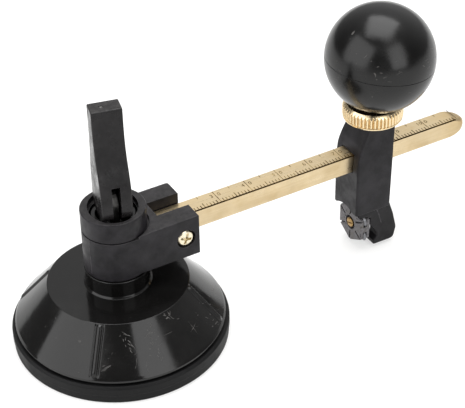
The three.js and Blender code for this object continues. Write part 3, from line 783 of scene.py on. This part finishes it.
def bar_section(x):
    """Half width, bottom, top and corner radius of the bar at x."""
    half, bottom, top, corner = BAR_HALF, BAR_BOTTOM, BAR_TOP, 0.14
    plan = (x - (BAR_TIP - 4.6)) / 4.6
    if plan > 0:
        half *= math.sqrt(max(0.0, 1 - plan ** 2.3))
    brow = (x - (BAR_TIP - 6.2)) / 6.2
    if brow > 0:
        top -= 3.0 * (1 - math.sqrt(max(0.0, 1 - brow ** 2.1)))
        corner = 0.14 + 1.3 * smooth_step(0.0, 0.7, brow)
    chin = (x - (BAR_TIP - 3.0)) / 3.0
    if chin > 0:
        bottom += 2.4 * (1 - math.sqrt(max(0.0, 1 - chin ** 2)))
    return half, bottom, top, min(corner, half * 0.95, (top - bottom) * 0.45)


def make_bar():
    stations = [BAR_START, BAR_START + 0.15, 40, 70, 100, BAR_TIP - 6.2]
    stations += [BAR_TIP - 6.2 * (1 - math.sin(math.pi / 2 * k / 30)) for k in range(1, 31)]
    vertices = []
    for index, x in enumerate(stations):
        half, bottom, top, corner = bar_section(min(x, BAR_TIP - 0.002))
        shrink = 0.12 if index == 0 else 0.0
        outline = []
        for cy, cz, start in ((1, -1, -90), (1, 1, 0), (-1, 1, 90), (-1, -1, 180)):
            centre_y = cy * (half - corner)
            centre_z = (top - corner) if cz > 0 else (bottom + corner)
            outline += arc(centre_y, centre_z, corner - min(shrink, corner * 0.9), start, start + 90, 5)
        vertices += [(x, y, z) for y, z in outline]
    bar = skin("bar", vertices, len(outline))
    cut(bar, rod("cross_hole", 1.8, -6, 6, "Y", (SCREW_X, SCREW_Z), 32))
    deliver(bar, BAR_BRASS, "arm", ["graduated_bar"], angle=40)


def digits(text, x, y, size):
    """A number lying on the bar's top face, as a thin mesh."""
    curve = bpy.data.curves.new("digits", "FONT")
    curve.body = text
    curve.size = size
    curve.align_x = "CENTER"
    curve.extrude = 0.02
    curve.resolution_u = 2
    obj = add_object("digits", curve)
    obj.location = (x, y, BAR_TOP + 0.005)
    bpy.context.view_layer.update()
    mesh = evaluated_mesh(obj)
    mesh.transform(obj.matrix_world)
    bpy.data.objects.remove(obj)
    return mesh


def make_scale():
    """Millimetre marks along the front edge, longer at each fifth, and a cross line and a number at each tenth."""
    bm = bmesh.new()

    def mark(x, low, high, width):
        corners = bmesh.ops.create_cube(bm, size=1.0)["verts"]
        bmesh.ops.scale(bm, vec=(width, high - low, 0.04), verts=corners)
        bmesh.ops.translate(bm, vec=(x, (low + high) / 2, BAR_TOP + 0.005), verts=corners)

    for reading in range(21, 111):
        x = reading + SCALE_ZERO
        width = 0.20 + 0.08 * random.random()
        if reading % 10 == 0:
            mark(x, -2.6, 2.7, 0.18)
        elif reading % 5 == 0:
            mark(x, -2.6, -0.7, 0.22)
            mark(x, 1.7, 2.75, 0.18)
        else:
            mark(x, -2.72, -1.35 - 0.1 * random.random(), width)
        if reading % 10 == 0 and reading < 108:
            bm.from_mesh(digits(str(reading // 10), x - 1.15, 0.2, 2.0))
            bm.from_mesh(digits("0", x + 1.15, 0.2, 2.0))
    mesh = bpy.data.meshes.new("bar_scale")
    bm.to_mesh(mesh)
    bm.free()
    deliver(add_object("bar_scale", mesh), INK, "arm")
    line = block("bar_edge_line", (BAR_START + 0.3, -BAR_HALF - 0.01, BAR_TOP - 0.26),
                 (BAR_TIP - 4.4, -BAR_HALF + 0.3, BAR_TOP + 0.02))
    deliver(line, EDGE_INK, "arm")


def make_clamp_screw():
    head = fillet([(0.0, -7.9), (2.55, -7.9), (2.55, -8.4), (2.05, -8.87), (1.1, -9.06), (0.0, -9.1)],
                  [0, 0.1, 0.25, 0.5, 0.5, 0], 4, closed=False)
    screw = lathe("clamp_screw", [(0.0, 8.9), (1.3, 8.9), (1.5, 8.6), (1.5, -7.9)] + head[1:], 64)
    recess = []
    for turn in (18, 108):
        outline = fillet([(-1.65, -0.36), (1.65, -0.36), (1.65, 0.36), (-1.65, 0.36)], 0.14, 3)
        wing = prism("wing", outline, -10.0, -8.15)
        wing.data.transform(rotation(turn, "Z"))
        recess.append(wing)
    recess.append(lathe("well", [(0.0, -8.0), (0.62, -8.3), (0.75, -10.0), (0.0, -10.0)], 24))
    cut(screw, *recess)
    ease(screw, 0.05, 2, 45)
    placement = Matrix.Translation((SCREW_X, 0, SCREW_Z)) @ rotation(-90, "X")
    deliver(screw, SCREW_BRASS, "arm", ["bar_clamp_screw"], placement=placement)
    nut = prism("clamp_nut", polygon(6, 3.17), 6.8, 8.9, "Y")
    cone = lathe("nut_cone", [(0.0, 6.7), (3.3, 6.7), (3.3, 8.5), (2.7, 8.95), (0.0, 8.95)], 48)
    cone.data.transform(rotation(-90, "X"))
    combine(nut, [cone], "INTERSECT")
    cut(nut, rod("nut_bore", 1.75, 5, 10, "Y"))
    ease(nut, 0.07, 2, 45)
    deliver(nut, SCREW_BRASS, "arm", ["bar_clamp_nut"],
            placement=Matrix.Translation((SCREW_X, 0, SCREW_Z)))


# -------------------- cutting head


def make_head():
    """The head's column from stacked sections. The finger rest (darker, as painted shade), lip and mould line (a real
    ridge, lighter as a painted highlight) are pieces of their own.
    """
    foot = 14.1
    near = [(14.1, 74.3), (29.0, 74.32), (32.0, 74.45), (34.2, 74.68), (36.0, 75.1), (38.0, 75.8), (39.8, 76.6),
            (41.4, 77.35), (42.6, 77.95), (43.4, 78.3)]
    far = [(14.1, 86.2), (35.0, 86.6), (43.4, 87.3)]
    half = [(14.1, 5.85), (32.0, 5.85), (34.5, 5.8), (43.4, 5.2)]
    rises = [0.0, 0.02, 0.07, 0.15, 0.25]
    insets = [0.25, 0.15, 0.07, 0.02, 0.0]
    levels = [(foot + rise, inset) for rise, inset in zip(rises, insets)]
    levels += [(foot + 29.05 * k / 40, 0.0) for k in range(1, 40)]
    levels += [(43.4 - rise, inset) for rise, inset in zip(reversed(rises), reversed(insets))]
    vertices = []
    for z, inset in levels:
        x0, x1 = between(near, z) + inset, between(far, z) - inset
        y = between(half, z) - inset
        ring = fillet([(x0, -y), (x1, -y), (x1, y), (x0, y)], [0.7, 0.5, 0.6, 0.7], 6)
        vertices += [(u, v, z) for u, v in ring]
    head = skin("cutter_head", vertices, len(ring))
    lip = slab("lip", fillet([(74.4, 13.4), (79.7, 13.4), (79.7, 14.8), (74.4, 14.8)], 0.3, 3), 4.6, 5.7, 0.2, "Y", 2)
    tongue = slab("finger_rest", fillet(
        [(81.1, 1.15), (88.4, 1.05), (89.25, 4.9), (88.0, 10.2), (87.0, 13.1), (86.0, 16.2), (75.6, 16.2),
         (75.6, 13.6), (78.9, 10.1), (80.9, 7.6), (82.35, 5.5), (82.4, 3.9), (81.1, 2.6)],
        [0.7, 1.7, 3.0, 4, 3, 0.7, 0.7, 0.7, 2, 2, 2, 0.8, 0.7], 6), -5.5, 5.5, 0.35, "Y")
    # A thin mould-line ridge on the finger rest's front, lighter as a painted highlight.
    crease_outline = [(81.5, 14.5), (82.5, 11.9), (83.55, 8.4), (83.75, 8.5), (82.72, 11.95), (81.75, 14.5)]
    crease = prism("finger_rest_highlight_line", crease_outline, -5.53, -5.3, "Y")
    bar_way = block("bar_way", (70, -3.2, BAR_BOTTOM - 0.3), (92, 3.2, BAR_TOP + 0.3))
    shoe_pocket = block("shoe_pocket", (78.7, -2.9, 34.2), (84.7, 2.9, 35.9))
    stud_way = rod("stud_way", 2.8, -10.8, 0, segments=48)
    stud_way.data.transform(LEANING)
    screw_way = rod("screw_way", 1.8, 78.9, 87.0, "X", (0, TURRET_Z))
    arch = rod("arch", 7.2, 72, 79.8, "X", (0, TURRET_Z), 96)
    seat = rod("washer_seat", 4.9, 79.5, 82.1, "X", (0, TURRET_Z), 64)
    turret_way = rod("turret_way", 6.75, 72, 79.8, "X", (0, TURRET_Z), 96)
    wheel_way = rod("wheel_way", 7.15, 77.1, 78.7, "X", (0, TURRET_Z), 96)
    cut(head, bar_way, shoe_pocket, stud_way, arch)
    cut(tongue, screw_way, seat, turret_way, wheel_way)
    deliver(head, HEAD_BLACK, "head", ["head_body"])
    # The finger rest gets the darker copy of the black: painted shade under the head.
    deliver(tongue, REST_SHADED_BLACK, "head")
    deliver(lip, HEAD_BLACK, "head")
    deliver(crease, MOULD_LINE_HIGHLIGHT, "head")


def make_knurled_nut():
    teeth = 48
    per_tooth = 8

    def bevel_radius(height):
        rise = max(0.0, (height - NUT_TOP + 1.25) / 1.25)
        return 8.74 - 1.0 * rise ** 1.3

    heights = [NUT_BOTTOM + 0.66, NUT_BOTTOM + 0.75] + [NUT_BOTTOM + 0.9 + 0.3 * k for k in range(9)]
    heights = [height for height in heights if height < NUT_TOP - 1.5]
    heights += [NUT_TOP - 1.5 + 0.1 * k for k in range(16)]
    profile = [(3.1, NUT_BOTTOM), (8.35, NUT_BOTTOM), (8.6, NUT_BOTTOM + 0.15), (8.6, NUT_BOTTOM + 0.5),
               (8.3, NUT_BOTTOM + 0.62)]
    rings = [(radius, height, False) for radius, height in profile]
    rings += [(None, height, True) for height in heights]
    rings += [(7.4, NUT_TOP, False), (4.6, NUT_TOP - 0.02, False), (4.4, NUT_TOP - 0.2, False),
              (3.1, NUT_TOP - 0.2, False)]
    count = teeth * per_tooth
    vertices = []
    for radius, height, toothed in rings:
        for i in range(count):
            angle = 2 * math.pi * i / count
            r = radius
            if toothed:
                wave = abs(math.cos(math.pi * i / per_tooth))
                r = min(8.2 + 0.54 * wave ** 0.6, bevel_radius(height))
                r = 8.3 + (r - 8.3) * smooth_step(NUT_BOTTOM + 0.62, NUT_BOTTOM + 0.8, height)
            vertices.append((r * math.cos(angle), r * math.sin(angle), height))
    nut = loop_skin("lock_nut", vertices, count)
    deliver(nut, NUT_BRASS, "lock_nut", ["knurled_nut"], angle=28,
            placement=Matrix.Translation((STUD_X, 0, 0)))


def make_ball():
    placement = LEANING @ Matrix.Translation((0, 0, BALL_HEIGHT))

    def shell(low, high, steps):
        start = math.degrees(math.asin(low / BALL_RADIUS))
        end = math.degrees(math.asin(min(1.0, high / BALL_RADIUS)))
        return arc(0, 0, BALL_RADIUS, start, end, steps)

    upper = shell(SEAM + 0.09, BALL_RADIUS, 44)
    upper[-1] = (0.0, BALL_RADIUS)
    upper = [(upper[0][0] - 0.16, SEAM + 0.03), (upper[0][0] - 0.04, SEAM + 0.045)] + upper
    inside = [(0.0, BALL_HOLLOW)] + arc(0, 0, BALL_HOLLOW, 80, -2.5, 14)
    top = lathe("ball_top", inside + upper, 144)
    deliver(top, BALL_GLOSS, "handle", ["ball_upper_half"], angle=40, placement=placement)
    lower = shell(-12.86, SEAM - 0.09, 36)
    lower += [(lower[-1][0] - 0.04, SEAM - 0.045), (lower[-1][0] - 0.16, SEAM - 0.03)]
    hollow = arc(0, 0, BALL_HOLLOW, -2.6, -62, 12) + [(5.8, -0.71), (4.3, -0.71)]
    foot = [(4.3, -12.8), (4.6, -13.02), (7.6, -13.02), (8.5, -12.96)]
    bottom = lathe("ball_bottom", foot + lower + hollow, 144)
    deliver(bottom, BALL_GLOSS, "handle", ["ball_lower_half"], angle=40, placement=placement)
    band = [(15.3, SEAM - 0.05), (15.5, SEAM - 0.05), (15.5, SEAM + 0.05), (15.3, SEAM + 0.05)]
    seam = lathe("ball_seam", band, 144)
    deliver(seam, BLACK, "handle", placement=placement)


# -------------------- turret


def around_turret(index):
    """The place of wheel 1 to 6. Wheel 1 is the lowest."""
    turn = Matrix.Rotation((index - 1) * math.pi / 3, 4, "X")
    return Matrix.Translation((0, 0, TURRET_Z)) @ turn @ Matrix.Translation((0, 0, -WHEEL_ORBIT))


def make_turret():
    hexagon = fillet([(y, TURRET_Z + z) for y, z in polygon(6, 6.45, math.pi / 2)], 0.4, 4)
    turret = slab("turret", hexagon, TURRET_FRONT, TURRET_BACK, 0.22, "X", 3)
    middle = (TURRET_FRONT + TURRET_BACK) / 2
    tools = [rod("bore", 1.75, 75, 81, "X", (0, TURRET_Z)), rod("sink", 2.25, 75, 77.3, "X", (0, TURRET_Z), 48)]
    for index in range(1, 7):
        pocket = rod("pocket", 2.0, middle - 0.6, middle + 0.6, "X", (0, 0), 40)
        axle_way = rod("axle_way", 0.65, 76.9, 81, "X", (0, 0), 20)
        notch = block("notch", (75, -0.3, -1.6), (77.0, 0.3, 2.0))
        for tool in (pocket, axle_way, notch):
            tool.data.transform(around_turret(index))
            tools.append(tool)
    cut(turret, *tools)
    deliver(turret, CASTING, "turret", ["turret_body"])
    for index in range(1, 7):
        lay = Matrix.Translation((middle, 0, 0)) @ Matrix.Rotation(math.pi / 2, 4, "Y")
        placement = around_turret(index) @ lay
        rim = fillet([(0.8, -0.5), (1.25, -0.5), (WHEEL_RADIUS, 0.0), (1.25, 0.5), (0.8, 0.5)],
                     [0.05, 0.08, 0.01, 0.08, 0.05], 3)
        wheel = lathe(f"wheel_{index}", rim, 48)
        deliver(wheel, WHEEL_STEEL, f"wheel_{index}", [f"cutting_wheel_{index}"], angle=25,
                placement=placement)
        side = fillet([(0.0, -0.85), (0.5, -0.85), (0.5, 1.45), (0.0, 1.45)], [0, 0.12, 0.12, 0], 3, False)
        pin = lathe(f"axle_pin_{index}", side, 24)
        deliver(pin, WHEEL_STEEL, "turret", [f"wheel_axle_{index}"], placement=placement)


def make_turret_screw():
    outline = [(0.0, 86.4), (1.35, 86.4), (1.45, 86.1), (1.45, 77.1)]
    outline += fillet([(1.5, 77.0), (1.5, 76.2), (1.1, 75.88), (0.0, 75.8)], [0.05, 0.2, 0.4, 0], 4, False)
    screw = lathe("turret_screw_head", outline, 48)
    cut(screw, block("driver_slot", (-3, -0.18, 75), (3, 0.18, 76.15)))
    lay = Matrix(((0, 0, 1, 0), (0, 1, 0, 0), (-1, 0, 0, 0), (0, 0, 0, 1)))
    turn = Matrix.Translation((0, 0, TURRET_Z)) @ rotation(70, "X")
    deliver(screw, DARK_BRASS, "turret", ["turret_screw"], placement=turn @ lay)
    for name, node, low, high, radius in (("flat_washer", "turret_washer", 79.8, 80.5, 4.55),
                                          ("split_washer", "turret_split_washer", 80.8, 81.8, 3.15)):
        washer = lathe(name, fillet([(1.9, low), (radius, low), (radius, high), (1.9, high)], 0.12, 3), 64)
        if node == "turret_split_washer":
            cut(washer, block("gap", (-4, -0.3, low - 1), (0, 0.3, high + 1)))
        deliver(washer, STEEL, "turret", [node], placement=Matrix.Translation((0, 0, TURRET_Z)) @ lay)


# -------------------- return spring, and CAD nodes that keep their shape


def make_spring():
    """The rod's return spring."""
    radius, wire, low, high, turns = 3.6, 0.4, 15.9, 29.0, 6
    steps, sides = turns * 24, 8
    vertices = []
    for k in range(steps + 1):
        share = k / steps
        angle = 2 * math.pi * turns * share
        centre = Vector((radius * math.cos(angle), radius * math.sin(angle), low + (high - low) * share))
        outward = Vector((math.cos(angle), math.sin(angle), 0))
        for side in range(sides):
            around = 2 * math.pi * side / sides
            vertices.append(centre + outward * wire * math.cos(around) + Vector((0, 0, wire * math.sin(around))))
    spring = skin("rod_spring", vertices, sides)
    deliver(spring, STEEL, "base", ["return_spring"], angle=60)
    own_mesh(spring)


def keep(node, material):
    """Leaves a CAD node's shape as it is, and gives it a material."""
    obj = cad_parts[node]
    obj.data.materials.clear()
    obj.data.materials.append(material)


# -------------------- stage

# Each softbox: name, azimuth, elevation, distance in metres, width and height in metres, radiance.
LIGHTS = (
    ("left_box", 182, 30, 0.9, (1.0, 0.9), 2.4),
    ("right_box", -82, 28, 0.9, (0.5, 0.75), 2.85),
    ("top_box", 40, 84, 1.0, (0.9, 0.9), 4.1),
)
ROOM_LIGHT = 0.17
GLOW_TOWARDS, GLOW_FROM, GLOW_POWER, GLOW_GAIN = (0.492, 0.413, 0.766), 0.2, 1.7, 0.8
CAMERA_AT = (-132.274, -300.144, 281.728)  # mm
CAMERA_YAW, CAMERA_PITCH, CAMERA_ROLL = 0.518390, -0.638985, -0.016383
CAMERA_LENS, CAMERA_SHIFT = 118.54, (-0.018, 0.0234)


def area_light(name, azimuth, elevation, distance, size, radiance, target=(0.03, 0, 0.03)):
    """A softbox whose brightness is its radiance, placed by where it stands around the object."""
    light = bpy.data.lights.new(name, "AREA")
    light.shape = "RECTANGLE"
    light.size, light.size_y = size
    light.energy = radiance * math.pi * size[0] * size[1]
    obj = add_object(name, light)
    a, e = math.radians(azimuth), math.radians(elevation)
    direction = Vector((math.cos(e) * math.cos(a), math.cos(e) * math.sin(a), math.sin(e)))
    obj.location = Vector(target) + direction * distance
    obj.rotation_euler = direction.to_track_quat("Z", "Y").to_euler()


def make_room():
    """An even white room that glows more towards one side, as fill light and in reflections."""
    world = bpy.data.worlds.new("studio")
    bpy.context.scene.world = world
    world.use_nodes = True
    tree = world.node_tree

    def step(kind, operation, value, *constants):
        """A node whose first input is a value and whose next inputs are constants."""
        node = tree.nodes.new(kind)
        if operation:
            node.operation = operation
        tree.links.new(value, node.inputs[0])
        for index, constant in enumerate(constants, 1):
            node.inputs[index].default_value = constant
        return node.outputs

    direction = tree.nodes.new("ShaderNodeTexCoord").outputs["Generated"]
    towards = step("ShaderNodeVectorMath", "DOT_PRODUCT", direction, GLOW_TOWARDS)["Value"]
    level = step("ShaderNodeMapRange", None, towards, GLOW_FROM, 1.0)["Result"]
    curve = step("ShaderNodeMath", "POWER", level, GLOW_POWER)["Value"]
    glow = step("ShaderNodeMath", "MULTIPLY_ADD", curve, GLOW_GAIN, ROOM_LIGHT)["Value"]
    background = tree.nodes["Background"]
    background.inputs["Color"].default_value = (1.0, 1.0, 1.0, 1.0)
    tree.links.new(glow, background.inputs["Strength"])


def make_stage():
    reach = 3000
    corners = [(-reach, -reach, 0), (reach, -reach, 0), (reach, reach, 0), (-reach, reach, 0)]
    floor = new_object("floor", corners, [[0, 1, 2, 3]])
    floor.data.transform(Matrix.Scale(MM, 4))
    floor.data.materials.append(pale_floor("pale_floor"))
    for light in LIGHTS:
        area_light(*light)
    make_room()
    bpy.context.scene.view_settings.view_transform = "Standard"


def make_camera():
    yaw, pitch, roll = CAMERA_YAW, CAMERA_PITCH, CAMERA_ROLL
    forward = Vector((math.sin(yaw) * math.cos(pitch), math.cos(yaw) * math.cos(pitch), math.sin(pitch)))
    right = Vector((math.cos(yaw), -math.sin(yaw), 0.0))
    up = right.cross(forward)
    right, up = (math.cos(roll) * right + math.sin(roll) * up, -math.sin(roll) * right + math.cos(roll) * up)
    data = bpy.data.cameras.new("camera")
    data.sensor_width = 36.0
    data.lens = CAMERA_LENS
    data.shift_x, data.shift_y = CAMERA_SHIFT
    data.clip_start = 0.01
    data.clip_end = 20.0
    camera = add_object("camera", data)
    matrix = Matrix((right, up, -forward)).transposed().to_4x4()
    matrix.translation = Vector(CAMERA_AT) * MM
    camera.matrix_world = matrix
    bpy.context.scene.camera = camera


make_camera()
make_stage()
make_pad()
make_housing()
make_scuffs()
make_ring()
make_lever()
make_bracket()
make_bar()
make_scale()
make_clamp_screw()
make_head()
make_knurled_nut()
make_ball()
make_turret()
make_turret_screw()
make_spring()
keep("clamp_stud", STEEL)
for node_name in ("pull_rod", "lever_pin"):
    keep(node_name, BLACK_STEEL)
for node_name in ("clamp_shoe", "ball_insert"):
    keep(node_name, DARK_BRASS)
